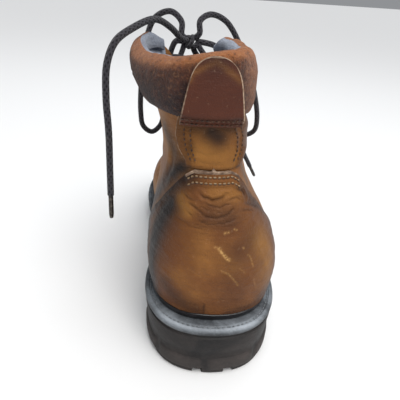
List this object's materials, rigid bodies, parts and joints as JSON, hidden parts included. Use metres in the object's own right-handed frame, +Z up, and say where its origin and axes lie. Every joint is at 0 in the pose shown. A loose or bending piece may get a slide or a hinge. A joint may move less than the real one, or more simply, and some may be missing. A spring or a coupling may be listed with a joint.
{
  "type": "worn lace-up work boot",
  "caption": "Worn tan leather six-inch work boot for the right foot: padded suede collar, pull tab, open laces, welted lug sole with block heel.",
  "frame": {"origin": "on the floor, under the middle of the boot's bounding box with the free laces left aside", "axes": "+Y toward the toe, +X toward the outer side of the foot, +Z up"},
  "size_m": [0.1276, 0.3026, 0.2111],
  "materials": {
    "outsole": "dusty worn black-brown moulded rubber",
    "welt": "matt black rubber with blue-grey dust in its stitch grooves",
    "rand": "glossy black strip",
    "insole": "worn grey textile foot bed",
    "upper": "greasy tan full grain leather, creased, stained grey-black on the inner side",
    "counter": "scuffed tan leather",
    "backstay": "smooth golden tan leather",
    "suede": "dark brown suede with a rubbed orange rim",
    "tab": "smooth red-brown leather with a pale raw edge",
    "tongue": "soft tan leather",
    "eyelet": "dark metal",
    "lace": "charcoal woven cord",
    "aglet": "black plastic tip"
  },
  "bodies": {
    "root": {"outsole": "outsole", "welt": "welt", "rand": "rand", "insole": "insole", "upper": "upper", "heel_counter": "counter", "backstay": "backstay", "collar": "suede", "pull_tab": "tab", "tongue": "tongue", "eyelet_outer_1": "eyelet", "eyelet_outer_2": "eyelet", "eyelet_outer_3": "eyelet", "eyelet_outer_4": "eyelet", "eyelet_outer_5": "eyelet", "eyelet_outer_6": "eyelet", "eyelet_inner_1": "eyelet", "eyelet_inner_2": "eyelet", "eyelet_inner_3": "eyelet", "eyelet_inner_4": "eyelet", "eyelet_inner_5": "eyelet", "eyelet_inner_6": "eyelet", "lace_crossings": "lace", "lace_knot": "lace", "bow_loop_outer": "lace", "bow_loop_inner": "lace", "lace_end_outer": "lace", "lace_end_inner": "lace", "aglet_outer": "aglet", "aglet_inner": "aglet"}
  },
  "joints": []
}
